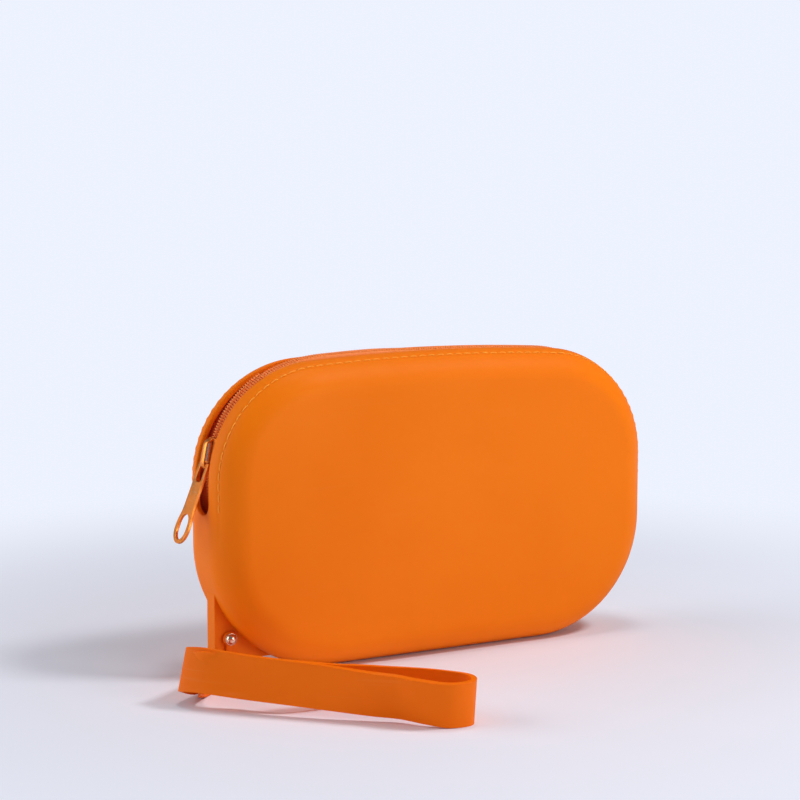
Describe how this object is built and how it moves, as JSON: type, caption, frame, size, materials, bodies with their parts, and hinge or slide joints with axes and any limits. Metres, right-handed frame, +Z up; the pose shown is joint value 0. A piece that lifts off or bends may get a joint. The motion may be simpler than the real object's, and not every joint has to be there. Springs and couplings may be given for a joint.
{
  "type": "zip pouch",
  "caption": "Rounded soft pouch standing on its long edge, with a zip round the top, a sliding zip puller and a flat wrist strap riveted to a corner lug.",
  "frame": {"origin": "On the floor under the middle of the pouch, at the centre of its flat lower edge", "axes": "X along the pouch's width with the lug and strap at -X, +Y to the rear panel, Z up"},
  "size_m": [0.193, 0.1144, 0.1064],
  "materials": {
    "silicone": "satin orange silicone",
    "tape": "woven orange tape",
    "thread": "orange sewing thread",
    "coil": "wound orange nylon",
    "plated_metal": "orange-plated zinc",
    "bright_metal": "bright rose-toned metal"
  },
  "bodies": {
    "pouch": {"pouch_shell": "silicone", "zip_tape_front": "tape", "zip_tape_rear": "tape", "zip_coil_front": "coil", "zip_coil_rear": "coil", "seam_thread_front": "thread", "seam_thread_rear": "thread", "zip_stop_left": "plated_metal", "zip_stop_right": "plated_metal", "strap_rivet": "bright_metal", "rivet_collar": "bright_metal"},
    "slider": {"slider_body": "plated_metal", "slider_cover": "plated_metal", "slider_lock_spring": "bright_metal"},
    "pull": {"pull_tab": "plated_metal"},
    "strap": {"wrist_strap": "silicone"}
  },
  "joints": [
    {"name": "slider_travel", "type": "hinge", "parent": "pouch", "child": "slider", "pos_m": [-0.04425, 0, 0.06665], "axis": [0, 1, 0], "range_deg": [-10, 50]},
    {"name": "pull_swing", "type": "hinge", "parent": "slider", "child": "pull", "pos_m": [-0.08412, 0, 0.07111], "axis": [0, 1, 0], "range_deg": [0, 140]},
    {"name": "strap_swivel", "type": "hinge", "parent": "pouch", "child": "strap", "pos_m": [-0.07757, 0, 0.01243], "axis": [0, 1, 0], "range_deg": [-45, 85]}
  ]
}
